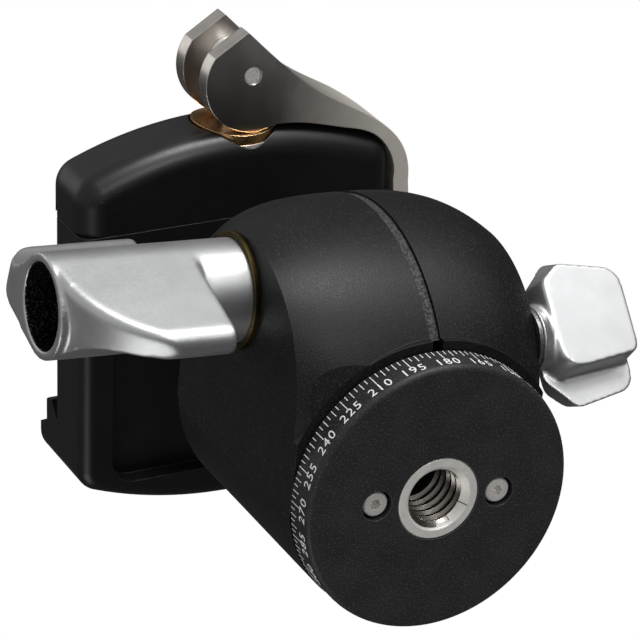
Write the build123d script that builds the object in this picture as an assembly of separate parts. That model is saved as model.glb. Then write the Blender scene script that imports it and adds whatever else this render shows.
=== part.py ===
from build123d import *
import math
import os

os.makedirs("parts", exist_ok=True)

# Millimetres. Origin: centre of the base's bottom face. +Z runs up the head, -X points at the main
# knob, +X at the pan knob and -Y at the slit in the front of the housing.

# Base and pan bearing
BASE_R = 20.5
BASE_H = 5.2
BASE_EDGE = 0.9
INSERT_R = 6.35
INSERT_BORE_R = 3.97
INSERT_H = 9.0
BASE_SCREW_X = 9.7
SPINDLE_R = 15.0
SPINDLE_TOP = 17.2
RING_Z = 8.0
RING_T = 1.1

# Housing
HOUSING_Z0 = 5.5
HOUSING_TOP = 45.0
COLUMN_R = 20.7
LIP_R = 21.9
FLAT_LEFT = -20.4
FLAT_RIGHT = 18.2
DRUM_Y, DRUM_Z = -6.1, 28.8     # centre of the front's arc in the plane of the slit
DRUM_R = 27.2
LEFT_FLANK = (6.9, 5.1, 2.8)    # how far the front's arc shrinks, moves forward and sinks at a flank
RIGHT_FLANK = (9.1, 3.6, 3.4)
SLIT_W = 1.75
TRIM_RISE = 0.35                # slope of the cone that trims the front's underside
TRIM_R = 40.0
BORE_R = 15.1
BALL_Z = 38.0
BALL_R = 15.0
SOCKET_R = 15.12
STEM_R = 6.2
NOTCH_HALF = 6.8
RECESS_R = 8.5
RECESS_X = -18.9

# Cross screws that close the slit
MAIN_Y, MAIN_Z = -21.4, 29.5
MAIN_SCREW_R = 3.0
PAN_Y, PAN_Z = -17.5, 12.3
PAN_SCREW_R = 2.0
RUN = 0.06                      # running clearance on a radius

# Main knob: a barrel with two wings, each with its flat tangent to the barrel
KNOB_X0 = -19.5
KNOB_X1 = -50.2
KNOB_R = 7.6
KNOB_HOLE_R = 6.3
WING_FLAT_DEG = -164.7          # direction of the near wing's flat, in the YZ plane
WING_T = 4.6
WING_REACH = 18.6
WING_L = 21.5
WING_RIDGE = 1.2
NEAR_SWEEP = (0, 20.0)          # where the end leaves square, and the radius it sweeps back in
FAR_SWEEP = (9.5, 10.0)
WING_BACK_R = 14.0

# Pan knob: two slabs back to back, each flaring towards the middle plane, on a short neck
PAN_X0 = 18.75
PAN_FACE_X = 21.2
PAN_X1 = 34.0
PAN_SLAB_T = 4.0
PAN_NECK_R = 3.9
PAN_FLAT_DEG = -135.0

# Quick-release clamp, drawn square and then spun on the stem
CLAMP_SPIN = -4.7
CLAMP_Z0 = 67.5
BED_Z = 77.8
LIP_Z = 82.0
JAW_TOP = 86.2
CLAMP_X0, CLAMP_X1 = -26.6, 26.2
SEAM_Y = -16.2
SEAM_GAP = 0.15
FRONT_Y = -29.8
BACK_Y = 32.0
LIP_Y = 16.4
DOVETAIL_Y = 18.9

# Lever, cam and draw rod
LEVER_X, LEVER_Y = 2.0, -38.5
WASHER_X = 1.5
LEVER_Z0 = 69.0
EAR_T = 2.8
LEVER_H = 11.5
LEVER_TAIL_H = 8.3
CAM_R = 9.3
CAM_RATE = 0.95                 # mm that the cam gives back for each radian of opening
ROD_R = 2.0
PIN_R = 1.45
ROD_Z = LEVER_Z0 + LEVER_H / 2

SPIN = Rot(0, 0, CLAMP_SPIN)


def save(name, shape):
    shape.label = name
    export_step(shape, f"parts/{name}.step")


def cyl_z(r, z0, z1, x=0, y=0):
    return Pos(x, y, (z0 + z1) / 2) * Cylinder(r, z1 - z0)


def cyl_x(r, x0, x1, y, z):
    return Pos((x0 + x1) / 2, y, z) * Rot(0, 90, 0) * Cylinder(r, abs(x1 - x0))


def cyl_y(r, y0, y1, x, z):
    return Pos(x, (y0 + y1) / 2, z) * Rot(90, 0, 0) * Cylinder(r, abs(y1 - y0))


def block(x0, x1, y0, y1, z0, z1):
    return Pos((x0 + x1) / 2, (y0 + y1) / 2, (z0 + z1) / 2) * Box(x1 - x0, y1 - y0, z1 - z0)


def hex_x(flats, x0, x1, y, z):
    prism = extrude(RegularPolygon(flats / math.sqrt(3), 6), abs(x1 - x0))
    return Pos(min(x0, x1), y, z) * Rot(0, 90, 0) * prism


def hex_z(flats, z0, z1, x=0, y=0):
    return Pos(x, y, z0) * extrude(RegularPolygon(flats / math.sqrt(3), 6), z1 - z0)


# ---------------------------------------------------------------- base and pan bearing

def base_disc():
    disc = cyl_z(BASE_R, 0, BASE_H)
    disc = fillet(disc.edges().sort_by(Axis.Z)[0], BASE_EDGE)
    disc -= cyl_z(INSERT_R, -1, BASE_H + 1)
    for x in (-BASE_SCREW_X, BASE_SCREW_X):
        disc -= cyl_z(1.25, -1, BASE_H + 1, x)
        disc -= cyl_z(2.3, -1, 2.6, x)
    return disc


def thread_insert():
    insert = cyl_z(INSERT_R, 0.05, INSERT_H)
    insert = chamfer(insert.edges().sort_by(Axis.Z)[0], 0.3)
    insert -= cyl_z(INSERT_BORE_R, 0, INSERT_H)
    lowest = insert.edges().filter_by(GeomType.CIRCLE).sort_by(Axis.Z)[0:2]
    return chamfer(lowest.sort_by(SortBy.RADIUS)[0], 0.4)


def base_screws():
    screws = []
    for x in (-BASE_SCREW_X, BASE_SCREW_X):
        head = chamfer(cyl_z(1.9, 0.5, 2.6, x).edges().sort_by(Axis.Z)[0], 0.2)
        screws.append(head + cyl_z(1.25, 2.6, 11, x) - hex_z(1.5, 0.4, 1.7, x))
    return Compound(screws)


def pan_spindle():
    spindle = cyl_z(SPINDLE_R, BASE_H, SPINDLE_TOP)
    spindle = chamfer(spindle.edges().sort_by(Axis.Z)[-1], 0.6)
    groove = cyl_z(SPINDLE_R + 1, RING_Z - 0.6, RING_Z + 0.6) - cyl_z(14.1, RING_Z - 1, RING_Z + 1)
    spindle -= groove
    spindle -= cyl_z(INSERT_R, 0, INSERT_H)
    for x in (-BASE_SCREW_X, BASE_SCREW_X):
        spindle -= cyl_z(1.25, 0, 11.5, x)
    return spindle


def snap_ring():
    ring = cyl_z(15.8, RING_Z - RING_T / 2, RING_Z + RING_T / 2)
    ring -= cyl_z(14.15, RING_Z - 2, RING_Z + 2)
    return ring - block(-4, 4, 10, 18, RING_Z - 2, RING_Z + 2)


def friction_washer():
    return cyl_z(19.6, BASE_H, BASE_H + 0.22) - cyl_z(SPINDLE_R + 0.1, 0, 10)


# ---------------------------------------------------------------- housing

def front_section(x, inset=0):
    """Side view of the front at x: an arc that shrinks towards the flanks, closed square behind."""
    share = abs(x / FLAT_LEFT)
    shrink, lean_y, lean_z = LEFT_FLANK if x < 0 else RIGHT_FLANK
    r = DRUM_R - 1.1 * share ** 2 - shrink * share ** 3.5 - inset
    y, z = DRUM_Y - lean_y * share ** 3.5, DRUM_Z - lean_z * share ** 3.5
    front = ThreePointArc((y, z - r), (y - r, z), (y, z + r))
    back = Polyline((y, z + r), (2, z + r), (2, z - r), (y, z - r))
    return Plane.YZ.offset(x) * make_face(front + back)


def front_block(inset=0):
    stations = [-20.4, -18.5, -16, -12, -6, 0, 6, 12, 16, 18.5]
    return loft([front_section(x, inset) for x in stations])


def turned_limit():
    """Solid inside the cone that trims the front's underside to a ring round the base."""
    rise = TRIM_RISE * (TRIM_R - LIP_R)
    half = make_face(Polyline(
        (0, HOUSING_Z0), (LIP_R, HOUSING_Z0), (TRIM_R, HOUSING_Z0 + rise), (TRIM_R, HOUSING_TOP),
        (0, HOUSING_TOP), (0, HOUSING_Z0)))
    return revolve(Plane.XZ * half, Axis.Z)


def housing_blank():
    column = cyl_z(COLUMN_R, HOUSING_Z0, HOUSING_TOP)
    column = fillet(column.edges().sort_by(Axis.Z)[-1], 1.2)
    lip = cyl_z(LIP_R, HOUSING_Z0, HOUSING_Z0 + 1.2) & block(-30, 30, -30, 0, 0, 10)
    blank = column + (front_block() & block(-30, 30, -40, 2, HOUSING_Z0, HOUSING_TOP)) + lip
    blank &= block(FLAT_LEFT, FLAT_RIGHT, -40, 30, HOUSING_Z0, HOUSING_TOP)
    return blank & turned_limit()


def housing():
    body = housing_blank()
    body -= cyl_z(BORE_R, 0, BALL_Z)
    body -= Pos(0, 0, BALL_Z) * Sphere(SOCKET_R)
    body -= cyl_z(16.1, RING_Z - 0.75, RING_Z + 0.75)
    body -= Pos(0, 0, HOUSING_TOP - 1.2) * Cone(12.5, 16.4, 3.4)
    body -= block(-SLIT_W / 2, SLIT_W / 2, -40, -10, 0, 50)
    body -= block(-NOTCH_HALF, NOTCH_HALF, 0, 30, BALL_Z, 50) + cyl_y(NOTCH_HALF, 0, 30, 0, BALL_Z)
    body -= cyl_x(RECESS_R, RECESS_X, -30, MAIN_Y, MAIN_Z)
    body -= cyl_x(MAIN_SCREW_R + RUN, -30, 14, MAIN_Y, MAIN_Z) + cyl_x(4.5, 1.5, 13, MAIN_Y, MAIN_Z)
    body -= cyl_x(PAN_SCREW_R + RUN, -13, 30, PAN_Y, PAN_Z) + cyl_x(3.2, -13, -6.5, PAN_Y, PAN_Z)
    return body


def slot_seal():
    strip = block(-SLIT_W / 2, SLIT_W / 2, -40, -21.3, HOUSING_Z0 + 0.2, HOUSING_TOP - 3)
    return strip & (Pos(0, 0.3, 0.3) * front_block(0.15) - front_block(2.8))


def ball_seat():
    seat = cyl_z(BORE_R, SPINDLE_TOP + 0.3, BALL_Z - 9)
    seat -= Pos(0, 0, BALL_Z) * Sphere(SOCKET_R)
    return seat - cyl_z(8, 0, 40)


def main_clamp_insert():
    return cyl_x(4.5, 1.5, 13, MAIN_Y, MAIN_Z) - cyl_x(MAIN_SCREW_R + RUN, 0, 20, MAIN_Y, MAIN_Z)


def pan_clamp_insert():
    return cyl_x(3.2, -13, -6.5, PAN_Y, PAN_Z) - cyl_x(PAN_SCREW_R + RUN, -20, 0, PAN_Y, PAN_Z)


# ---------------------------------------------------------------- knobs

def main_wing(plan):
    """Wing with its flat facing +Z and its tip along -Y, cut to the plan outline."""
    r, back = KNOB_R, KNOB_R - WING_T
    cz = back - WING_BACK_R
    cy = -math.sqrt((r + WING_BACK_R) ** 2 - cz ** 2)
    share = r / (r + WING_BACK_R)
    foot = (cy * share, cz * share)
    tip_y = WING_T / 2 - WING_REACH
    mid_y = (foot[0] + tip_y) / 2
    mid_z = cz + math.sqrt(WING_BACK_R ** 2 - (mid_y - cy) ** 2)
    outline = Polyline((0, 0), (0, r), (tip_y, r)) + ThreePointArc(
        (tip_y, r), (-WING_REACH, r - WING_T / 2), (tip_y, back))
    outline += ThreePointArc((tip_y, back), (mid_y, mid_z), foot) + Line(foot, (0, 0))
    wing = extrude(Plane.YZ * make_face(outline), WING_L)
    return Pos(KNOB_X1, 0, 0) * (wing & Pos(0, 0, -20) * extrude(plan, 40))


def swept_plan(start, radius):
    """Plan of a wing whose outer end leaves the barrel square and sweeps back in an arc to the tip."""
    def sweep_x(y):
        return radius - math.sqrt(radius ** 2 - (y - start) ** 2)

    middle = (start + WING_REACH) / 2
    tip = (sweep_x(WING_REACH), -WING_REACH)
    rest = Polyline(tip, (WING_L, -WING_REACH), (WING_L, 0), (0, 0))
    if start:
        rest += Line((0, 0), (0, -start))
    return make_face(rest + ThreePointArc((0, -start), (sweep_x(middle), -middle), tip))


def main_knob():
    near = main_wing(swept_plan(*NEAR_SWEEP))
    ridge = [e for e in near.edges() if e.center().Y < -9 and e.center().X < KNOB_X1 + 16 and e.center().Z > 2]
    ridge = [e for e in ridge if e.geom_type != GeomType.LINE or e.center().Z < KNOB_R - 1]
    body = cyl_x(KNOB_R, KNOB_X1, KNOB_X0, 0, 0) + fillet(ridge, WING_RIDGE)
    body += Rot(180, 0, 0) * main_wing(swept_plan(*FAR_SWEEP))
    body -= cyl_x(KNOB_HOLE_R, KNOB_X1 - 1, KNOB_X1 + 15, 0, 0)
    body -= cyl_x(MAIN_SCREW_R, KNOB_X1, 0, 0, 0)
    return Pos(0, MAIN_Y, MAIN_Z) * Rot(WING_FLAT_DEG - 90, 0, 0) * body


def main_clamp_screw():
    y, z = MAIN_Y, MAIN_Z
    head = cyl_x(5.0, KNOB_X1 + 11, KNOB_X1 + 15, y, z) - hex_x(4.0, KNOB_X1 + 10, KNOB_X1 + 13.5, y, z)
    return head + cyl_x(MAIN_SCREW_R, KNOB_X1 + 15, 12.5, y, z)


def main_knob_washer():
    """Bronze cup: a thrust face behind the knob and a thin rim round its end."""
    cup = cyl_x(RECESS_R - 0.05, FLAT_LEFT - 0.7, RECESS_X, MAIN_Y, MAIN_Z)
    cup -= cyl_x(KNOB_R + 0.15, FLAT_LEFT - 2, RECESS_X - 0.5, MAIN_Y, MAIN_Z)
    return cup - cyl_x(MAIN_SCREW_R + RUN, FLAT_LEFT - 1, FLAT_LEFT + 3, MAIN_Y, MAIN_Z)


def pan_outline(face_side):
    """Outline of a slab in plan, at its outer face or at the knob's middle plane, where it flares."""
    if face_side:
        left = PAN_FACE_X
        corners = [(left, -6.6), (PAN_X1, -4.6), (PAN_X1, 8.2), (24.3, 9.7), (left, 7.4)]
    else:
        left = PAN_X0 + 0.6
        corners = [(left, -6.9), (PAN_X1, -5.0), (PAN_X1, 8.9), (24.0, 11.2), (left, 6.6)]
    plan = make_face(Polyline(*corners, close=True))
    for corner, radius in zip(corners, (3.2, 1.6, 3.0, 2.0, 2.0)):
        vertex = plan.vertices().sort_by_distance((corner[0], corner[1], 0))[0]
        plan = fillet(vertex, radius)
    return plan


def pan_knob():
    # drawn with the near slab facing +Z and its tip along +Y
    slab = loft([pan_outline(False), Pos(0, 0, PAN_SLAB_T) * pan_outline(True)])
    body = slab + Rot(180, 0, 0) * slab
    body += cyl_x(PAN_NECK_R, PAN_X0, PAN_FACE_X, 0, 0)
    body -= cyl_x(PAN_SCREW_R, PAN_X0 - 1, PAN_X1 - 4, 0, 0)
    return Pos(0, PAN_Y, PAN_Z) * Rot(PAN_FLAT_DEG - 90, 0, 0) * body


def pan_clamp_screw():
    return cyl_x(PAN_SCREW_R, -12.5, PAN_X1 - 4, PAN_Y, PAN_Z)


def pan_knob_washer():
    return cyl_x(4.6, FLAT_RIGHT, FLAT_RIGHT + 0.5, PAN_Y, PAN_Z) - cyl_x(
        PAN_SCREW_R + RUN, 10, 30, PAN_Y, PAN_Z)


# ---------------------------------------------------------------- ball and stem

def ball():
    shape = Pos(0, 0, BALL_Z) * Sphere(BALL_R)
    shape &= block(-20, 20, -20, 20, BALL_Z - 14.2, 60)
    stem = cyl_z(STEM_R, BALL_Z + 8, CLAMP_Z0)
    flare = Pos(0, 0, CLAMP_Z0 - 2.5) * Cone(STEM_R, 9.5, 2.4)
    collar = cyl_z(9.5, CLAMP_Z0 - 1.3, CLAMP_Z0)
    shape = shape + stem + flare + collar
    return shape - cyl_z(2.5, CLAMP_Z0 - 14, CLAMP_Z0 + 1)


# ---------------------------------------------------------------- clamp

def bowed_block(y_side, y_edge, bow, corner, z_top, low_round, top_round):
    """Block from y_edge out to a bowed side that reaches y_side in the middle, edges rounded."""
    y_end = y_side + bow if y_side < y_edge else y_side - bow
    path = Polyline((CLAMP_X0, y_end), (CLAMP_X0, y_edge), (CLAMP_X1, y_edge), (CLAMP_X1, y_end))
    middle = ((CLAMP_X0 + CLAMP_X1) / 2, y_side)
    face = make_face(path + ThreePointArc((CLAMP_X1, y_end), middle, (CLAMP_X0, y_end)))
    ends = [v for v in face.vertices() if abs(v.Y - y_end) < 0.01]
    body = Pos(0, 0, CLAMP_Z0) * extrude(fillet(ends, corner), z_top - CLAMP_Z0)
    low = body.faces().sort_by(Axis.Z)[0].edges()
    body = fillet([e for e in low if abs(e.center().Y - y_edge) > 0.1], low_round)
    top = body.faces().sort_by(Axis.Z)[-1].edges()
    return fillet([e for e in top if abs(e.center().Y - y_edge) > 0.1], top_round)


def clamp_body():
    profile = make_face(Polyline(
        (SEAM_Y, CLAMP_Z0), (BACK_Y, CLAMP_Z0), (BACK_Y, JAW_TOP), (22.8, JAW_TOP), (20.6, LIP_Z + 0.3),
        (LIP_Y + 0.6, LIP_Z + 0.3), (LIP_Y, LIP_Z - 0.6), (LIP_Y, LIP_Z - 1.5), (DOVETAIL_Y, BED_Z + 0.4),
        (DOVETAIL_Y, BED_Z), (SEAM_Y, BED_Z), (SEAM_Y, CLAMP_Z0)))
    body = Pos(CLAMP_X0, 0, 0) * extrude(Plane.YZ * profile, CLAMP_X1 - CLAMP_X0)
    body &= bowed_block(BACK_Y, SEAM_Y, 5.6, 4.0, JAW_TOP, 2.2, 1.6)
    pocket = block(-21.5, 21.0, -12.0, 26.4, CLAMP_Z0 - 1, CLAMP_Z0 + 3)
    pocket = fillet(pocket.edges().filter_by(Axis.Z), 4.0)
    body -= pocket - cyl_z(11.0, 0, 100)
    body -= cyl_z(3.1, CLAMP_Z0 - 1, 90) + cyl_z(5.6, BED_Z - 3.2, 90)
    body -= cyl_y(ROD_R, SEAM_Y - 1, -7.5, LEVER_X, ROD_Z)
    for x in (-18, 18):
        body -= cyl_y(2.0, SEAM_Y - 1, -8, x, 73.5) + cyl_y(3.4, SEAM_Y - 1, SEAM_Y + 4, x, 73.5)
    return SPIN * body


def stem_screw():
    screw = cyl_z(5.4, BED_Z - 3.2, BED_Z - 0.3) + cyl_z(2.5, CLAMP_Z0 - 11, BED_Z - 3.2)
    return SPIN * (screw - hex_z(4.0, BED_Z - 2.3, BED_Z))


def guide_pins():
    return Compound([SPIN * cyl_y(2.0, -26, -8, x, 73.5) for x in (-18, 18)])


def jaw_springs():
    springs = []
    for x in (-18, 18):
        coil = Helix(pitch=2.2, height=6.6, radius=2.75)
        wire = sweep(Plane(coil @ 0, z_dir=coil % 0) * RegularPolygon(0.32, 6), coil, is_frenet=True)
        springs.append(SPIN * (Pos(x, SEAM_Y + 3.6, 73.5) * Rot(90, 0, 0) * wire))
    return Compound(springs)


def draw_rod():
    y_in = -7.5
    rod = cyl_y(ROD_R, LEVER_Y + 2, y_in, LEVER_X, ROD_Z)
    eye = cyl_z(3.6, ROD_Z - 2.9, ROD_Z + 2.9, LEVER_X, LEVER_Y)
    rod = rod + eye
    return SPIN * (rod - cyl_z(PIN_R + 0.04, 50, 100, LEVER_X, LEVER_Y))


def moving_jaw():
    edge = SEAM_Y - SEAM_GAP
    profile = make_face(Polyline(
        (edge, CLAMP_Z0), (FRONT_Y - 1, CLAMP_Z0), (FRONT_Y - 1, 82.0), (-21.5, 82.0), (-17.6, 80.6),
        (-LIP_Y, 80.0), (-LIP_Y, 79.6), (-DOVETAIL_Y, BED_Z), (edge, BED_Z), (edge, CLAMP_Z0)))
    jaw = Pos(CLAMP_X0, 0, 0) * extrude(Plane.YZ * profile, CLAMP_X1 - CLAMP_X0)
    jaw &= bowed_block(FRONT_Y, -10, 5.9, 4.5, 82.0, 4.0, 4.5)
    jaw -= cyl_y(7.0, -26.9, -40, WASHER_X, ROD_Z) + cyl_y(ROD_R + 0.25, -40, -10, LEVER_X, ROD_Z)
    for x in (-18, 18):
        jaw -= cyl_y(2.05, -26.5, edge + 1, x, 73.5) + cyl_y(3.4, edge - 3.4, edge + 1, x, 73.5)
    return SPIN * jaw


def cam_washer():
    washer = cyl_y(6.7, -27.6, -31.4, WASHER_X, ROD_Z)
    saddle_r = 30.0
    bottom = LEVER_Y + CAM_R + 0.06
    washer -= cyl_z(saddle_r, 50, 100, LEVER_X, bottom - saddle_r)
    return SPIN * (washer - cyl_y(ROD_R + 0.6, -40, -20, WASHER_X, ROD_Z))


def steel_washer():
    washer = cyl_y(6.8, -26.9, -27.6, WASHER_X, ROD_Z)
    return SPIN * (washer - cyl_y(ROD_R + 0.6, -40, -20, WASHER_X, ROD_Z))


# ---------------------------------------------------------------- lever

def cam_point(turn):
    """Point of the cam that touches a flat washer after the lever has opened by turn."""
    reach = CAM_R - CAM_RATE * turn
    slope = -CAM_RATE
    x = -reach * math.sin(turn) - slope * math.cos(turn)
    y = reach * math.cos(turn) - slope * math.sin(turn)
    return (x, y)


def lever_tail_relief():
    """What is cut from the top of the tail so that a long plate passes over it."""
    side = Polyline((17, LEVER_H + 1), (24, LEVER_TAIL_H), (40, LEVER_TAIL_H), (40, LEVER_H + 1), close=True)
    return extrude(Plane.XZ.offset(-60) * make_face(side), 80)


def lever():
    cam = Spline(*[cam_point(math.radians(a)) for a in (0, 25, 50, 75, 100, 118)])
    facet_a, facet_b = (-6.35, -3.6), (-0.9, -7.1)
    outer = Spline(facet_b, (5.2, -1.0), (10.7, 3.7), (17.7, 7.9), (24.6, 13.0), (27.4, 21.5))
    tail = Spline((27.4, 21.5), (27.6, 32), (29.0, 42), (32.5, 47.5))
    tip = Line((32.5, 47.5), (30.6, 48.6))
    inner_tail = Spline((30.6, 48.6), (26.6, 42), (25.1, 32), (24.75, 21.0))
    inner = Spline((24.75, 21.0), (23.8, 15.6), (21.0, 12.55), (15.7, 10.7), (8.6, 8.9), (4.3, 8.5))
    edges = [
        cam, Line(cam @ 1, facet_a), Line(facet_a, facet_b), outer, tail, tip, inner_tail, inner,
        Line(inner @ 1, cam @ 0)]
    plan = make_face(Wire(edges))
    body = extrude(plan, LEVER_H)
    gap = block(-12, 5.4, -12, 12, EAR_T, LEVER_H - EAR_T)
    body -= gap
    body -= lever_tail_relief()
    body -= Pos(0, 0, LEVER_H / 2) * Cylinder(PIN_R, LEVER_H * 2)
    return SPIN * Pos(LEVER_X, LEVER_Y, LEVER_Z0) * body


def lever_pin():
    pin = cyl_z(PIN_R, LEVER_Z0 + 0.1, LEVER_Z0 + LEVER_H - 0.1, LEVER_X, LEVER_Y)
    return SPIN * chamfer(pin.edges().filter_by(GeomType.CIRCLE), 0.2)


save("base_disc", base_disc())
save("thread_insert", thread_insert())
save("base_screws", base_screws())
save("pan_spindle", pan_spindle())
save("spindle_snap_ring", snap_ring())
save("pan_friction_washer", friction_washer())
save("housing", housing())
save("slot_seal", slot_seal())
save("ball_seat", ball_seat())
save("main_clamp_insert", main_clamp_insert())
save("pan_clamp_insert", pan_clamp_insert())
save("main_knob", main_knob())
save("main_clamp_screw", main_clamp_screw())
save("main_knob_washer", main_knob_washer())
save("pan_knob", pan_knob())
save("pan_clamp_screw", pan_clamp_screw())
save("pan_knob_washer", pan_knob_washer())
save("ball", ball())
save("clamp_body", clamp_body())
save("stem_screw", stem_screw())
save("jaw_guide_pins", guide_pins())
save("jaw_springs", jaw_springs())
save("draw_rod", draw_rod())
save("moving_jaw", moving_jaw())
save("cam_washer", cam_washer())
save("steel_washer", steel_washer())
save("lever", lever())
save("lever_pin", lever_pin())
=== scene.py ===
import math

import bmesh
import bpy
from mathutils import Matrix, Vector


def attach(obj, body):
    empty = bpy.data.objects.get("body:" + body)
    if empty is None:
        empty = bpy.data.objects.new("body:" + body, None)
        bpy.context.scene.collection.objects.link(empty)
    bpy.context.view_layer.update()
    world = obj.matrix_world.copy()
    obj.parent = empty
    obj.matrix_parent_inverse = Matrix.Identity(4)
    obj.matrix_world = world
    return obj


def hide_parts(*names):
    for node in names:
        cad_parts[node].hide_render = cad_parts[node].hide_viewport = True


MM = 0.001
MERGE_GAP = 0.002 * MM

# Camera
CAMERA_AT = Vector((-0.22762, -0.21232, -0.38235))
CAMERA_RIGHT = Vector((0.89586, -0.10387, -0.43202))
CAMERA_DOWN = Vector((-0.08319, 0.91589, -0.39272))
CAMERA_BACK = CAMERA_RIGHT.cross(-CAMERA_DOWN).normalized()
LENS_MM = 196.875
SENSOR_MM = 36.0
OBJECT_MIDDLE = Vector((-0.004, -0.006, 0.042))

# Studio: directions are in the camera's axes, as right, up and near
LAMP_DISTANCE = 0.7
LAMPS = (                           # name, direction, side of the square, power in watts
    ("key_softbox", (0.28, 0.86, 0.42), 0.24, 3.7),
    ("right_softbox", (0.66, 0.68, 0.30), 0.26, 0.35),
    ("front_softbox", (0.42, 0.38, 0.82), 0.18, 0.9),
    ("low_softbox", (-0.30, -0.90, 0.30), 0.40, 1.1),
    ("left_softbox", (-0.85, 0.45, -0.35), 0.35, 0.28))
BRIGHT_SIDE = (-0.45, 0.70, 0.55)
REFLECTED_LEVELS = (0.06, 0.46)     # of the backdrop in a reflection, away from the bright side and on it
REFLECTED_RAMP = (-0.02, 0.50)      # cosines from the bright side between which the level climbs
DIFFUSE_LEVEL = 0.5
FLOOR_R, FLOOR_Z, FLOOR_SIDES = 2.0, -0.2 * MM, 96

# Finishes
PAINTED_GLINT_RANGE = (0.56, 0.72)          # values of the grain over which a painted glint comes up as a light fleck
PORE_RANGE = (0.40, 0.62)           # the same for the walls between the seal's pores
SPARKLE_RANGE = (0.56, 0.66)        # and for the painted glints inside the main knob's hole, whose wall is painted shade
EDGE_COSINES = (0.75, 0.985)        # between the rounded normal and the true one: full painted edge highlight, none
EDGE_SAMPLES = 6
RING_SCALE = 3.2                    # wave texture's units to one ring
RING_WANDER = 0.6
TURNED_SHADE = 0.82                 # darkest cloud on turned metal, against its colour
BLACK_SHADES = (0.8, 1.25)          # darkest and lightest cloud on a black finish, against its level
LEVER_PAINTED_LIGHT_SPAN = (4 * MM, 22 * MM)      # along X, where the cam with painted shade turns into the duller arm with painted light

# Dial on the rim of the base
RIM_R = 20.5 * MM
MARK_PROUD = 0.02 * MM
TICK_TOP = 5.12 * MM
TICK_LENGTHS = (2.45 * MM, 1.65 * MM, 1.1 * MM)
TICK_W = 0.13 * MM
SECTOR_DEG = 15
DIGIT_Z = 0.92 * MM
DIGIT_H = 1.68 * MM
DIGIT_PITCH = 1.32 * MM
DIGIT_SQUEEZE = 0.92
TEXT_DEPTH = 0.02                   # in the font's own units, before scaling
TICK_BEVEL = 0.008 * MM
ZERO_AZIMUTH_DEG = 89.0

# Knobs: axes as (y, z)
MAIN_AXIS = (-21.4 * MM, 29.5 * MM)
MAIN_WING_END = -32.0 * MM
MAIN_HOLE_LIP, MAIN_HOLE_END = -49.9 * MM, -34.0 * MM
MAIN_HOLE_R = 6.45 * MM
MAIN_WING_R, MAIN_ROOT_R = 8.9 * MM, 7.2 * MM
MAIN_VOXEL, MAIN_EASING, MAIN_WING_EASING = 0.24 * MM, 7, 30
PAN_AXIS = (-17.5 * MM, 12.3 * MM)
PAN_TURN = math.radians(-225.0)
PAN_NECK_X, PAN_NECK_R = 22.6 * MM, 3.5 * MM
PAN_VOXEL, PAN_EASING, PAN_NECK_EASING = 0.2 * MM, 8, 25
NECK_START, NECK_SIDES = 0.1 * MM, 72
PAN_NECK_RINGS = (                  # along the axis, half width in the slabs' plane, half thickness
    (18.85 * MM, 4.9 * MM, 4.9 * MM), (19.5 * MM, 4.7 * MM, 4.5 * MM), (20.2 * MM, 4.9 * MM, 4.1 * MM),
    (20.9 * MM, 5.6 * MM, 3.7 * MM), (21.6 * MM, 6.6 * MM, 3.5 * MM), (22.4 * MM, 6.8 * MM, 3.4 * MM))

# Tripod thread, three eighths of an inch at sixteen to the inch
INSERT_R = 6.35 * MM
INSERT_LOW, INSERT_HIGH = 0.05 * MM, 9.0 * MM
THREAD_PITCH = 1.5875 * MM
THREAD_ROOT_R = 4.78 * MM
THREAD_CREST_R = 3.98 * MM
MOUTH_R = 5.0 * MM
MOUTH_DEEP = 0.75 * MM
MOUTH_BEYOND = 0.2 * MM             # by which the countersink's cone runs past the mouth at each end
INSERT_BEVEL = 0.25 * MM
GROOVE_INSIDE = 0.25 * MM           # by which the cutter reaches inside the crest
GROOVE_MOUTH, GROOVE_ROOT = 0.96, 0.14   # groove's width at the crest, over the pitch, and at the root, over that
GROOVE_TURNS, GROOVE_STEPS = 10, 48
FINE_SIDES = 128
SMOOTH_ANGLE = math.radians(35)
HAIR = 0.01 * MM                    # tolerance for picking points of a mesh


# ---------------------------------------------------------------- modelling helpers

def deselect():
    if bpy.context.object and bpy.context.object.mode != "OBJECT":
        bpy.ops.object.mode_set(mode="OBJECT")
    bpy.ops.object.select_all(action="DESELECT")


def activate(piece):
    """Leaves the piece as the only one selected, and active."""
    deselect()
    piece.select_set(True)
    bpy.context.view_layer.objects.active = piece


def pick(piece, kind, test):
    """In edit mode, selects the piece's vertices, or the faces whose middle passes the test."""
    bpy.ops.mesh.select_mode(type={"verts": "VERT", "faces": "FACE"}[kind])
    bpy.ops.mesh.select_all(action="DESELECT")
    mesh = bmesh.from_edit_mesh(piece.data)
    if kind == "verts":
        for point in mesh.verts:
            point.select = test(point.co)
    else:
        for face in mesh.faces:
            face.select_set(test(face.calc_center_median()))
    bmesh.update_edit_mesh(piece.data)


def apply_modifier(piece, kind, **settings):
    activate(piece)
    modifier = piece.modifiers.new(kind.lower(), kind)
    for key, value in settings.items():
        setattr(modifier, key, value)
    bpy.ops.object.modifier_apply(modifier=modifier.name)


def settle(piece):
    """Puts a piece's place and turn into its mesh."""
    activate(piece)
    bpy.ops.object.transform_apply(location=True, rotation=True, scale=True)


def name_piece(piece, name):
    piece.name = name
    piece.data.name = name


def join(pieces, name):
    """Makes one piece of several."""
    deselect()
    for piece in pieces:
        piece.select_set(True)
    bpy.context.view_layer.objects.active = pieces[0]
    bpy.ops.object.join()
    name_piece(pieces[0], name)
    return pieces[0]


def cylinder(radius, low, high, axis="Z", sides=FINE_SIDES):
    """Cylinder round Z or X, between two places along it."""
    deselect()
    middle = (low + high) / 2
    if axis == "Z":
        place, turn = (0, 0, middle), (0, 0, 0)
    else:
        place, turn = (middle, 0, 0), (0, math.pi / 2, 0)
    bpy.ops.mesh.primitive_cylinder_add(
        vertices=sides, radius=radius, depth=high - low, location=place, rotation=turn)
    piece = bpy.context.object
    settle(piece)
    return piece


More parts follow.
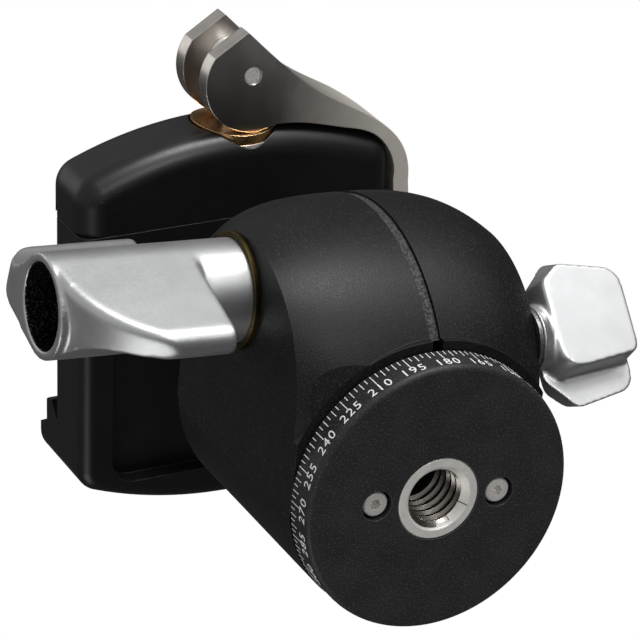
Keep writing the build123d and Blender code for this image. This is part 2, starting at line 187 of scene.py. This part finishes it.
def own_copy(node):
    """A merged copy of a CAD node's mesh, free to be shaped."""
    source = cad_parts[node]
    piece = bpy.data.objects.new(node + "_copy", source.data.copy())
    bpy.context.scene.collection.objects.link(piece)
    activate(piece)
    bpy.ops.object.mode_set(mode="EDIT")
    bpy.ops.mesh.select_all(action="SELECT")
    bpy.ops.mesh.remove_doubles(threshold=MERGE_GAP)
    bpy.ops.object.mode_set(mode="OBJECT")
    return piece


def cut_with(piece, tool):
    apply_modifier(piece, "BOOLEAN", object=tool, operation="DIFFERENCE", solver="EXACT")
    bpy.data.objects.remove(tool)


def soften(piece, voxel, rounds):
    """Rebuilds the skin finely and eases its edges, as tumbling and blasting do."""
    apply_modifier(piece, "REMESH", mode="VOXEL", voxel_size=voxel, use_smooth_shade=True)
    apply_modifier(piece, "SMOOTH", factor=0.5, iterations=rounds)
    activate(piece)
    bpy.ops.object.shade_smooth()


def ease_where(piece, rounds, test):
    """Smooths only the points that pass the test."""
    group = piece.vertex_groups.new(name="eased")
    group.add([v.index for v in piece.data.vertices if test(v.co)], 1.0, "REPLACE")
    apply_modifier(piece, "SMOOTH", factor=0.5, iterations=rounds, vertex_group=group.name)
    piece.vertex_groups.clear()


# ---------------------------------------------------------------- materials

def grey(level):
    return (level, level, level)


def new_material(name):
    material = bpy.data.materials.new(name)
    material.use_nodes = True
    return material, material.node_tree, material.node_tree.nodes["Principled BSDF"]


def grain_of(tree, size_mm, detail=3.0):
    """Noise on the object's own coordinates with features about size_mm across."""
    where = tree.nodes.new("ShaderNodeTexCoord")
    noise = tree.nodes.new("ShaderNodeTexNoise")
    noise.inputs["Scale"].default_value = 1 / (size_mm * MM)
    noise.inputs["Detail"].default_value = detail
    tree.links.new(where.outputs["Object"], noise.inputs["Vector"])
    return noise.outputs["Fac"]


def spread(tree, value, low, high, from_low=0.3, from_high=0.7):
    """Carries a value from one range to another, and holds it there."""
    ramp = tree.nodes.new("ShaderNodeMapRange")
    ramp.inputs["From Min"].default_value = from_low
    ramp.inputs["From Max"].default_value = from_high
    ramp.inputs["To Min"].default_value = low
    ramp.inputs["To Max"].default_value = high
    tree.links.new(value, ramp.inputs["Value"])
    return ramp.outputs["Result"]


def blend_colours(tree, amount, first, second):
    """Mixes two colours, each of them a colour or a socket."""
    mix = tree.nodes.new("ShaderNodeMix")
    mix.data_type = "RGBA"
    tree.links.new(amount, mix.inputs["Factor"])
    for socket, colour in ((mix.inputs["A"], first), (mix.inputs["B"], second)):
        if isinstance(colour, bpy.types.NodeSocket):
            tree.links.new(colour, socket)
        else:
            socket.default_value = (*colour, 1)
    return mix.outputs["Result"]


def worn_edges(tree, radius_mm):
    """How near a sharp edge is, from 0 to 1, as the mask of a painted edge highlight, and the normal rounded over
    it.
    """
    rounded = tree.nodes.new("ShaderNodeBevel")
    rounded.samples = EDGE_SAMPLES
    rounded.inputs["Radius"].default_value = radius_mm * MM
    geometry = tree.nodes.new("ShaderNodeNewGeometry")
    dot = tree.nodes.new("ShaderNodeVectorMath")
    dot.operation = "DOT_PRODUCT"
    tree.links.new(rounded.outputs["Normal"], dot.inputs[0])
    tree.links.new(geometry.outputs["Normal"], dot.inputs[1])
    return spread(tree, dot.outputs["Value"], 1, 0, *EDGE_COSINES), rounded.outputs["Normal"]


def add_bump(tree, shader, height, depth_mm, normal=None):
    bump = tree.nodes.new("ShaderNodeBump")
    bump.inputs["Distance"].default_value = depth_mm * MM
    bump.inputs["Strength"].default_value = 1.0
    tree.links.new(height, bump.inputs["Height"])
    if normal is not None:
        tree.links.new(normal, bump.inputs["Normal"])
    tree.links.new(bump.outputs["Normal"], shader.inputs["Normal"])


def blasted(name, dark, light, edge, rough, grain_mm, depth_mm, edge_mm, metallic=1.0, specular=0.5, painted_glint=None):
    """Metal with a blasted or matte skin: fine grain, faint cloudiness, painted highlights on its edges and
    painted glints as light flecks.
    """
    material, tree, shader = new_material(name)
    cloud = grain_of(tree, size_mm=6.0, detail=4.0)
    grain = grain_of(tree, grain_mm, detail=2.0)
    painted_edge_mask, normal = worn_edges(tree, edge_mm)
    skin = blend_colours(tree, spread(tree, cloud, 0, 1), dark, light)
    # painted glints: light flecks spread over the skin
    if painted_glint:
        skin = blend_colours(tree, spread(tree, grain, 0, 1, *PAINTED_GLINT_RANGE), skin, painted_glint)
    # painted highlight: sharp edges are painted in the lighter edge colour
    tree.links.new(blend_colours(tree, painted_edge_mask, skin, edge), shader.inputs["Base Color"])
    tree.links.new(spread(tree, grain, *rough), shader.inputs["Roughness"])
    shader.inputs["Metallic"].default_value = metallic
    shader.inputs["Specular IOR Level"].default_value = specular
    add_bump(tree, shader, grain, depth_mm, normal)
    return material


def turned(name, colour, edge, rough, ring_mm, depth_mm, metallic=1.0):
    """Turned metal: fine rings round Z, with painted highlights on its edges."""
    material, tree, shader = new_material(name)
    where = tree.nodes.new("ShaderNodeTexCoord")
    wave = tree.nodes.new("ShaderNodeTexWave")
    wave.wave_type = "RINGS"
    wave.rings_direction = "Z"
    wave.inputs["Scale"].default_value = 1 / (ring_mm * MM * RING_SCALE)
    wave.inputs["Distortion"].default_value = RING_WANDER
    wave.inputs["Detail"].default_value = 2.0
    tree.links.new(where.outputs["Object"], wave.inputs["Vector"])
    cloud = grain_of(tree, size_mm=2.5)
    painted_edge_mask, normal = worn_edges(tree, radius_mm=0.12)
    darker = tuple(TURNED_SHADE * c for c in colour)
    skin = blend_colours(tree, spread(tree, cloud, 0, 1), darker, colour)
    # painted highlight: sharp edges are painted in the lighter edge colour
    tree.links.new(blend_colours(tree, painted_edge_mask, skin, edge), shader.inputs["Base Color"])
    tree.links.new(spread(tree, wave.outputs["Fac"], *rough, 0, 1), shader.inputs["Roughness"])
    shader.inputs["Metallic"].default_value = metallic
    add_bump(tree, shader, wave.outputs["Fac"], depth_mm, normal)
    return material


def black_anodised(name, level, rough, depth_mm, edge=(0.03, 0.03, 0.031), specular=0.30, painted_glint=None):
    """Black skin on aluminium, as dark as level, with painted highlights on its edges and, where given, painted
    glints.
    """
    dark, light = (grey(shade * level) for shade in BLACK_SHADES)
    return blasted(name, dark, light, edge, rough, grain_mm=0.26, depth_mm=depth_mm, edge_mm=0.15,
                   metallic=0.0, specular=specular, painted_glint=painted_glint)


def porous_seal():
    """Open foam: dark pores between lighter walls."""
    material, tree, shader = new_material("seal_grey")
    pores = grain_of(tree, size_mm=0.35, detail=5.0)
    walls = blend_colours(tree, spread(tree, pores, 0, 1, *PORE_RANGE), grey(0.012), (0.055, 0.055, 0.058))
    tree.links.new(walls, shader.inputs["Base Color"])
    tree.links.new(spread(tree, pores, 0.9, 0.6), shader.inputs["Roughness"])
    add_bump(tree, shader, pores, depth_mm=0.12)
    return material


def plastic(name, dark, light, rough):
    """Moulded plastic, faintly clouded."""
    material, tree, shader = new_material(name)
    cloud = grain_of(tree, size_mm=1.2, detail=4.0)
    tree.links.new(blend_colours(tree, spread(tree, cloud, 0, 1), dark, light), shader.inputs["Base Color"])
    tree.links.new(spread(tree, cloud, *rough), shader.inputs["Roughness"])
    add_bump(tree, shader, cloud, depth_mm=0.01)
    return material


def white_paint():
    """Screened paint, uneven in thickness."""
    material, tree, shader = new_material("dial_white")
    film = grain_of(tree, size_mm=0.18, detail=2.0)
    paint = blend_colours(tree, spread(tree, film, 0, 1), (0.62, 0.62, 0.60), (0.82, 0.82, 0.81))
    tree.links.new(paint, shader.inputs["Base Color"])
    tree.links.new(spread(tree, film, 0.5, 0.75), shader.inputs["Roughness"])
    return material


def sparkling_hole():
    """Wall painted dark as painted shade, with painted glints as bright grains."""
    material, tree, shader = new_material("knob_hole")
    grains = grain_of(tree, size_mm=0.3, detail=2.0)
    wall = blend_colours(tree, spread(tree, grains, 0, 1, *SPARKLE_RANGE), grey(0.018), grey(0.62))
    tree.links.new(wall, shader.inputs["Base Color"])
    tree.links.new(spread(tree, grains, 0.55, 0.25), shader.inputs["Roughness"])
    shader.inputs["Metallic"].default_value = 1.0
    add_bump(tree, shader, grains, depth_mm=0.06)
    return material


def along_x(tree, start, end):
    """0 to 1 along the object's own X, between two places."""
    where = tree.nodes.new("ShaderNodeTexCoord")
    split = tree.nodes.new("ShaderNodeSeparateXYZ")
    tree.links.new(where.outputs["Object"], split.inputs["Vector"])
    return spread(tree, split.outputs["X"], 0, 1, start, end)


def lever_steel():
    """Satin steel: glossier round the cam and duller along the arm, with painted shade round the cam and painted
    light along the arm, whose colour is paler and less metallic.
    """
    material, tree, shader = new_material("lever_steel")
    cloud = grain_of(tree, size_mm=3.0)
    grain = grain_of(tree, size_mm=0.25, detail=2.0)
    # painted light: the arm's colour grows paler and less metallic along X
    painted_light_arm = along_x(tree, *LEVER_PAINTED_LIGHT_SPAN)
    painted_edge_mask, normal = worn_edges(tree, radius_mm=0.25)
    # painted shade: the cam's colour is painted darker
    cam_painted_shade = blend_colours(tree, spread(tree, cloud, 0, 1), (0.52, 0.49, 0.46), (0.64, 0.60, 0.56))
    skin = blend_colours(tree, painted_light_arm, cam_painted_shade, (0.70, 0.66, 0.59))
    # painted highlight: the lever's sharp edges are painted pale
    tree.links.new(blend_colours(tree, painted_edge_mask, skin, (0.86, 0.84, 0.80)), shader.inputs["Base Color"])
    tree.links.new(spread(tree, painted_light_arm, 0.26, 0.46, 0, 1), shader.inputs["Roughness"])
    tree.links.new(spread(tree, painted_light_arm, 1.0, 0.55, 0, 1), shader.inputs["Metallic"])
    add_bump(tree, shader, grain, depth_mm=0.003, normal=normal)
    return material


def metals():
    """Finishes of the bare metal pieces."""
    return {
        # partly painted light: the insert's face is pale and part diffuse to stand in for its reflections
        "steel": turned("insert_steel", (0.74, 0.72, 0.68), (0.9, 0.9, 0.88), rough=(0.42, 0.58),
                        ring_mm=0.12, depth_mm=0.008, metallic=0.45),
        # painted shade: the thread in the bore is a darker copy of the steel
        "thread": blasted("thread_steel", (0.24, 0.22, 0.20), (0.40, 0.37, 0.33), (0.60, 0.56, 0.50),
                          rough=(0.18, 0.30), grain_mm=0.6, depth_mm=0.004, edge_mm=0.06),
        # partly painted light: the screws' steel is paler and part diffuse to stand in for its reflections
        "screw": blasted("screw_steel", (0.62, 0.60, 0.57), (0.80, 0.78, 0.75), (0.95, 0.94, 0.92),
                         rough=(0.2, 0.35), grain_mm=0.2, depth_mm=0.006, edge_mm=0.1, metallic=0.55),
        "aluminium": turned("inner_aluminium", (0.55, 0.56, 0.57), grey(0.8), rough=(0.25, 0.4),
                            ring_mm=0.2, depth_mm=0.006),
        "spring": blasted("spring_steel", (0.35, 0.34, 0.33), (0.55, 0.54, 0.53), grey(0.8),
                          rough=(0.2, 0.4), grain_mm=0.3, depth_mm=0.004, edge_mm=0.08),
        "bronze": blasted("bronze", (0.62, 0.34, 0.13), (0.80, 0.47, 0.20), (0.95, 0.72, 0.42),
                          rough=(0.24, 0.36), grain_mm=0.4, depth_mm=0.004, edge_mm=0.12),
        # bronze painted near black, dark brown
        "near_black_bronze": blasted("near_black_bronze", (0.020, 0.015, 0.008), (0.10, 0.070, 0.020), (0.30, 0.22, 0.08),
                               rough=(0.40, 0.60), grain_mm=0.5, depth_mm=0.01, edge_mm=0.1),
        "silver": blasted("knob_silver", (0.56, 0.565, 0.57), (0.64, 0.645, 0.65), grey(0.92),
                          rough=(0.36, 0.46), grain_mm=0.16, depth_mm=0.012, edge_mm=0.2),
        "lever": lever_steel(),
    }


def blacks():
    """Finishes of the black anodised pieces."""
    return {
        # painted glints: the housing and base carry light flecks
        "housing": black_anodised("housing_black", level=0.005, rough=(0.40, 0.52), depth_mm=0.03,
                                  specular=0.25, painted_glint=grey(0.022)),
        # painted highlight: the base's edges are painted far lighter than its face
        "base": black_anodised("base_black", level=0.016, rough=(0.42, 0.56), depth_mm=0.03,
                               edge=grey(0.10), painted_glint=grey(0.05)),
        "clamp": black_anodised("clamp_black", level=0.004, rough=(0.32, 0.42), depth_mm=0.006, specular=0.42),
        "ball": black_anodised("ball_black", level=0.006, rough=(0.28, 0.36), depth_mm=0.004),
        "spindle": black_anodised("spindle_black", level=0.006, rough=(0.5, 0.6), depth_mm=0.004),
    }


def dress_nodes():
    """Gives every CAD node the finish of its slot, and returns the finishes that the new pieces wear."""
    metal, black = metals(), blacks()
    white_acetal = plastic("acetal_white", (0.60, 0.60, 0.58), (0.70, 0.70, 0.68), rough=(0.35, 0.5))
    black_acetal = plastic("acetal_black", (0.010, 0.010, 0.011), (0.018, 0.018, 0.019), rough=(0.35, 0.5))
    screw, spring = metal["screw"], metal["spring"]
    finish_of = {
        "base_disc": black["base"], "thread_insert": metal["steel"], "base_screws": screw,
        "pan_spindle": black["spindle"], "spindle_snap_ring": spring, "pan_friction_washer": white_acetal,
        "housing": black["housing"], "slot_seal": porous_seal(), "ball_seat": black_acetal,
        "main_clamp_insert": metal["aluminium"], "pan_clamp_insert": metal["aluminium"],
        "main_knob_washer": metal["near_black_bronze"], "pan_knob_washer": spring, "main_knob": metal["silver"],
        "main_clamp_screw": screw, "pan_knob": metal["silver"], "pan_clamp_screw": screw,
        "ball": black["ball"], "clamp_body": black["clamp"], "stem_screw": screw, "jaw_guide_pins": screw,
        "jaw_springs": spring, "draw_rod": screw, "moving_jaw": black["clamp"], "cam_washer": metal["bronze"],
        "steel_washer": screw, "lever": metal["lever"], "lever_pin": screw,
    }
    for name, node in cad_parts.items():
        if not node.material_slots:
            node.data.materials.append(finish_of[name])
        for holder in node.material_slots:
            holder.material = finish_of[name]
    return {"steel": metal["steel"], "thread": metal["thread"], "silver": metal["silver"],
            "hole": sparkling_hole(), "white": white_paint()}


def wear(piece, material, slot, body, *nodes):
    """Gives a finished piece its material and its body, and hides the CAD nodes that it stands for; the slot is
    not used.
    """
    piece.data.materials.clear()
    piece.data.materials.append(material)
    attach(piece, body)
    if nodes:
        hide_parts(*nodes)


# ---------------------------------------------------------------- dial

def rim_turn(degrees):
    """Turn about +Z that takes a mark drawn at azimuth 0 to the place of that reading."""
    return Matrix.Rotation(math.radians(ZERO_AZIMUTH_DEG - degrees), 4, "Z")


def tick(degrees, length):
    """One white tick, hanging from the rim's top edge."""
    deselect()
    bpy.ops.mesh.primitive_cube_add(
        size=1, location=(RIM_R, 0, TICK_TOP - length / 2), scale=(2 * MARK_PROUD, TICK_W, length))
    piece = bpy.context.object
    settle(piece)
    bpy.ops.object.mode_set(mode="EDIT")
    bpy.ops.mesh.select_all(action="SELECT")
    bpy.ops.mesh.bevel(offset=TICK_BEVEL, segments=1)
    bpy.ops.object.mode_set(mode="OBJECT")
    piece.data.transform(rim_turn(degrees))
    return piece


def tick_ring():
    """One sector of ticks, repeated round the rim."""
    long, middle, short = TICK_LENGTHS
    pieces = [tick(0, long), tick(5, middle), tick(10, middle)]
    pieces += [tick(half, short) for half in (2.5, 7.5, 12.5)]
    ring = join(pieces, "ticks")
    turner = bpy.data.objects.new("turner", None)
    bpy.context.scene.collection.objects.link(turner)
    turner.rotation_euler = (0, 0, math.radians(SECTOR_DEG))
    bpy.context.view_layer.update()
    apply_modifier(ring, "ARRAY", count=360 // SECTOR_DEG, use_relative_offset=False,
                   use_object_offset=True, offset_object=turner)
    bpy.data.objects.remove(turner)
    return ring


def digit_mesh(figure):
    """One figure, standing on the XZ plane, facing +X, its left at +Y, with its foot at z 0."""
    deselect()
    bpy.ops.object.text_add()
    letter = bpy.context.object
    letter.data.body = str(figure)
    letter.data.extrude = TEXT_DEPTH
    letter.data.resolution_u = 4
    bpy.ops.object.convert(target="MESH")
    letter = bpy.context.object
    corners = [v.co.copy() for v in letter.data.vertices]
    low = Vector([min(c[i] for c in corners) for i in range(3)])
    high = Vector([max(c[i] for c in corners) for i in range(3)])
    scale = DIGIT_H / (high.y - low.y)
    centre = Matrix.Translation((-(low.x + high.x) / 2, -low.y, 0))
    stand = Matrix(((0, 0, MARK_PROUD / TEXT_DEPTH, 0), (scale * DIGIT_SQUEEZE, 0, 0, 0),
                    (0, scale, 0, 0), (0, 0, 0, 1)))
    letter.data.transform(stand @ centre)
    mesh = letter.data
    bpy.data.objects.remove(letter)
    return mesh


def numbers():
    """The readings round the rim, one for each sector."""
    figures = [digit_mesh(figure) for figure in range(10)]
    pieces = []
    for reading in range(0, 360, SECTOR_DEG):
        text = str(reading)
        for place, figure in enumerate(text):
            offset = (place - (len(text) - 1) / 2) * DIGIT_PITCH
            mesh = figures[int(figure)].copy()
            mesh.transform(Matrix.Translation((RIM_R, 0, DIGIT_Z)))
            mesh.transform(rim_turn(reading - math.degrees(offset / RIM_R)))
            piece = bpy.data.objects.new("figure", mesh)
            bpy.context.scene.collection.objects.link(piece)
            pieces.append(piece)
    return join(pieces, "numbers")


def dial_marks(material):
    marks = join([tick_ring(), numbers()], "dial_marks")
    wear(marks, material, "base_black", "base")


# ---------------------------------------------------------------- tripod thread

def insert_shell():
    """Tube bored to the thread's crest, with a countersunk mouth."""
    shell = cylinder(INSERT_R, INSERT_LOW, INSERT_HIGH)
    activate(shell)
    bpy.ops.object.mode_set(mode="EDIT")
    pick(shell, "faces", lambda c: c.z < INSERT_LOW + HAIR)
    bpy.ops.mesh.bevel(offset=INSERT_BEVEL, segments=1)
    bpy.ops.object.mode_set(mode="OBJECT")
    cut_with(shell, cylinder(THREAD_CREST_R, INSERT_LOW - MM, INSERT_HIGH + MM))
    deselect()
    depth = MOUTH_R - THREAD_CREST_R + 2 * MOUTH_BEYOND
    bpy.ops.mesh.primitive_cone_add(
        vertices=FINE_SIDES, radius1=MOUTH_R + MOUTH_BEYOND, radius2=THREAD_CREST_R - MOUTH_BEYOND,
        depth=depth, location=(0, 0, INSERT_LOW - MOUTH_BEYOND + depth / 2))
    sink = bpy.context.object
    settle(sink)
    cut_with(shell, sink)
    return shell


def thread_cutter():
    """Helical groove with the thread's flanks, longer than the insert."""
    inner, outer = THREAD_CREST_R - GROOVE_INSIDE, THREAD_ROOT_R
    deselect()
    bpy.ops.mesh.primitive_plane_add(
        size=1, location=((inner + outer) / 2, 0, -2 * THREAD_PITCH), rotation=(math.pi / 2, 0, 0))
    cutter = bpy.context.object
    cutter.scale = (outer - inner, THREAD_PITCH * GROOVE_MOUTH, 1)
    settle(cutter)
    bpy.ops.object.mode_set(mode="EDIT")
    pick(cutter, "verts", lambda c: c.x > outer - HAIR)
    bpy.ops.transform.resize(value=(1, 1, GROOVE_ROOT))
    bpy.ops.mesh.select_all(action="SELECT")
    bpy.ops.mesh.delete(type="ONLY_FACE")
    bpy.ops.object.mode_set(mode="OBJECT")
    apply_modifier(cutter, "SCREW", axis="Z", screw_offset=THREAD_PITCH, iterations=GROOVE_TURNS,
                   steps=GROOVE_STEPS, render_steps=GROOVE_STEPS, use_merge_vertices=False)
    activate(cutter)
    bpy.ops.object.mode_set(mode="EDIT")
    bpy.ops.mesh.select_all(action="SELECT")
    bpy.ops.mesh.fill_holes(sides=4)
    bpy.ops.mesh.select_all(action="SELECT")
    bpy.ops.mesh.normals_make_consistent(inside=False)
    bpy.ops.object.mode_set(mode="OBJECT")
    return cutter


def threaded_insert(material, painted_shade_thread_material):
    """The insert with its thread cut, with partly painted light on its face and painted shade in the bore."""
    piece = insert_shell()
    cut_with(piece, thread_cutter())
    name_piece(piece, "tripod_thread_insert")
    activate(piece)
    bpy.ops.object.shade_smooth_by_angle(angle=SMOOTH_ANGLE)
    wear(piece, material, "insert_steel", "base", "thread_insert")
    # painted shade: the thread's faces get the darker steel
    paint_faces(piece, painted_shade_thread_material,
                lambda c: c.xy.length < THREAD_ROOT_R + 2 * HAIR and c.z > MOUTH_DEEP)


# ---------------------------------------------------------------- knobs

def reach(point, centre):
    """Distance of a point from an axis along X through centre, given as (y, z)."""
    return math.hypot(point.y - centre[0], point.z - centre[1])


def paint_faces(piece, material, test):
    """Gives the faces that pass the test a second material."""
    piece.data.materials.append(material)
    activate(piece)
    bpy.ops.object.mode_set(mode="EDIT")
    pick(piece, "faces", test)
    piece.active_material_index = len(piece.data.materials) - 1
    bpy.ops.object.material_slot_assign()
    bpy.ops.object.mode_set(mode="OBJECT")


def main_knob_skin(material, painted_shade_hole_material):
    """The knob with tumbled wings, and painted shade inside the end of its barrel."""
    piece = own_copy("main_knob")
    soften(piece, MAIN_VOXEL, MAIN_EASING)
    ease_where(piece, MAIN_WING_EASING, lambda c: reach(c, MAIN_AXIS) > MAIN_WING_R or (
        c.x > MAIN_WING_END and reach(c, MAIN_AXIS) > MAIN_ROOT_R))
    name_piece(piece, "main_knob_skin")
    wear(piece, material, "knob_silver", "main_knob_body", "main_knob")
    # painted shade: the inside of the barrel's end is painted dark
    paint_faces(piece, painted_shade_hole_material,
                lambda c: reach(c, MAIN_AXIS) < MAIN_HOLE_R and MAIN_HOLE_END > c.x > MAIN_HOLE_LIP)


def flared_neck():
    """Concave neck that runs from a round collar into the slabs, drawn square and then turned."""
    start, wide, thick = PAN_NECK_RINGS[0]
    at = start + NECK_START
    neck = cylinder(wide, start, at, "X", NECK_SIDES)
    bpy.ops.object.mode_set(mode="EDIT")
    for place, next_wide, next_thick in PAN_NECK_RINGS[1:]:
        pick(neck, "faces", lambda c: c.x > at - HAIR)
        bpy.ops.mesh.extrude_region_move(TRANSFORM_OT_translate={"value": (place - at, 0, 0)})
        bpy.ops.transform.resize(
            value=(1, next_wide / wide, next_thick / thick), center_override=(place, 0, 0))
        at, wide, thick = place, next_wide, next_thick
    bpy.ops.object.mode_set(mode="OBJECT")
    neck.data.transform(Matrix.Translation((0, *PAN_AXIS)) @ Matrix.Rotation(PAN_TURN, 4, "X"))
    return neck


def pan_knob_skin(material):
    """The small knob with its neck flared into the slabs and its edges eased."""
    piece = join([own_copy("pan_knob"), flared_neck()], "pan_knob_skin")
    soften(piece, PAN_VOXEL, PAN_EASING)
    ease_where(piece, PAN_NECK_EASING, lambda c: c.x < PAN_NECK_X and reach(c, PAN_AXIS) > PAN_NECK_R)
    wear(piece, material, "knob_silver", "pan_knob_body", "pan_knob")


# ---------------------------------------------------------------- stage

def make_camera():
    turn = Matrix((CAMERA_RIGHT, -CAMERA_DOWN, CAMERA_BACK)).transposed().to_4x4()
    data = bpy.data.cameras.new("camera")
    data.sensor_width = SENSOR_MM
    data.lens = LENS_MM
    data.clip_start, data.clip_end = 0.01, 20.0
    camera = bpy.data.objects.new("camera", data)
    camera.matrix_world = Matrix.Translation(CAMERA_AT) @ turn
    bpy.context.scene.collection.objects.link(camera)
    bpy.context.scene.camera = camera


def view_direction(right, up, near):
    """Direction given in the camera's axes, in the frame's."""
    return (CAMERA_RIGHT * right - CAMERA_DOWN * up + CAMERA_BACK * near).normalized()


def softbox(name, direction, side, power):
    """Square lamp in that direction from the object, facing it."""
    away = view_direction(*direction)
    data = bpy.data.lights.new(name, "AREA")
    data.shape = "RECTANGLE"
    data.size = data.size_y = side
    data.energy = power
    lamp = bpy.data.objects.new(name, data)
    lamp.location = OBJECT_MIDDLE + away * LAMP_DISTANCE
    lamp.rotation_euler = away.to_track_quat("Z", "Y").to_euler()
    lamp.visible_camera = False
    bpy.context.scene.collection.objects.link(lamp)


def choose_level(tree, switch, off, on):
    """Number that is off where the switch is 0 and on where it is 1."""
    mix = tree.nodes.new("ShaderNodeMix")
    tree.links.new(switch, mix.inputs["Factor"])
    for socket, value in ((mix.inputs["A"], off), (mix.inputs["B"], on)):
        if isinstance(value, bpy.types.NodeSocket):
            tree.links.new(value, socket)
        else:
            socket.default_value = value
    return mix.outputs["Result"]


def make_world():
    """White to the camera and through glass, graded by side in a reflection, and even for the rest."""
    world = bpy.data.worlds.new("studio")
    bpy.context.scene.world = world
    world.use_nodes = True
    tree = world.node_tree
    background = tree.nodes["Background"]
    background.inputs["Color"].default_value = (1, 1, 1, 1)
    path = tree.nodes.new("ShaderNodeLightPath")
    where = tree.nodes.new("ShaderNodeTexCoord")
    side = tree.nodes.new("ShaderNodeVectorMath")
    side.operation = "DOT_PRODUCT"
    side.inputs[1].default_value = view_direction(*BRIGHT_SIDE)
    tree.links.new(where.outputs["Generated"], side.inputs[0])
    reflected = spread(tree, side.outputs["Value"], *REFLECTED_LEVELS, *REFLECTED_RAMP)
    strength = choose_level(tree, path.outputs["Is Glossy Ray"], DIFFUSE_LEVEL, reflected)
    for output in ("Is Camera Ray", "Is Transmission Ray"):
        strength = choose_level(tree, path.outputs[output], strength, 1.0)
    tree.links.new(strength, background.inputs["Strength"])


def make_floor():
    """Pale floor that is solid only to a camera above it and lets all other light through."""
    deselect()
    bpy.ops.mesh.primitive_circle_add(
        vertices=FLOOR_SIDES, radius=FLOOR_R, fill_type="NGON", location=(0, 0, FLOOR_Z))
    floor = bpy.context.object
    floor.name = "floor"
    settle(floor)
    material, tree, shader = new_material("floor_pale")
    tone = grain_of(tree, size_mm=40.0)
    tree.links.new(
        blend_colours(tree, spread(tree, tone, 0, 1), grey(0.90), grey(0.94)),
        shader.inputs["Base Color"])
    shader.inputs["Roughness"].default_value = 0.9
    clear = tree.nodes.new("ShaderNodeBsdfTransparent")
    path = tree.nodes.new("ShaderNodeLightPath")
    side = tree.nodes.new("ShaderNodeNewGeometry")
    front = tree.nodes.new("ShaderNodeMath")
    front.operation = "SUBTRACT"
    front.use_clamp = True
    tree.links.new(path.outputs["Is Camera Ray"], front.inputs[0])
    tree.links.new(side.outputs["Backfacing"], front.inputs[1])
    choose = tree.nodes.new("ShaderNodeMixShader")
    tree.links.new(front.outputs["Value"], choose.inputs["Fac"])
    tree.links.new(clear.outputs["BSDF"], choose.inputs[1])
    tree.links.new(shader.outputs["BSDF"], choose.inputs[2])
    tree.links.new(choose.outputs["Shader"], tree.nodes["Material Output"].inputs["Surface"])
    floor.data.materials.append(material)


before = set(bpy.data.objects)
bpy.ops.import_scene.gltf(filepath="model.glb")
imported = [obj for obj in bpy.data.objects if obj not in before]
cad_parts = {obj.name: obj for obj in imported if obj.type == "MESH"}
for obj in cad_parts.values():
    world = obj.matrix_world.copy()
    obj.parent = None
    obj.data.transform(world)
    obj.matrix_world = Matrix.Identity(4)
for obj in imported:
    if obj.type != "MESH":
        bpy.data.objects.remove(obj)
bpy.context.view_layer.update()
bpy.context.scene.view_settings.view_transform = "Standard"
make_camera()
make_world()
for lamp_values in LAMPS:
    softbox(*lamp_values)
make_floor()
finishes = dress_nodes()
dial_marks(finishes["white"])
threaded_insert(finishes["steel"], finishes["thread"])
main_knob_skin(finishes["silver"], finishes["hole"])
pan_knob_skin(finishes["silver"])
deselect()
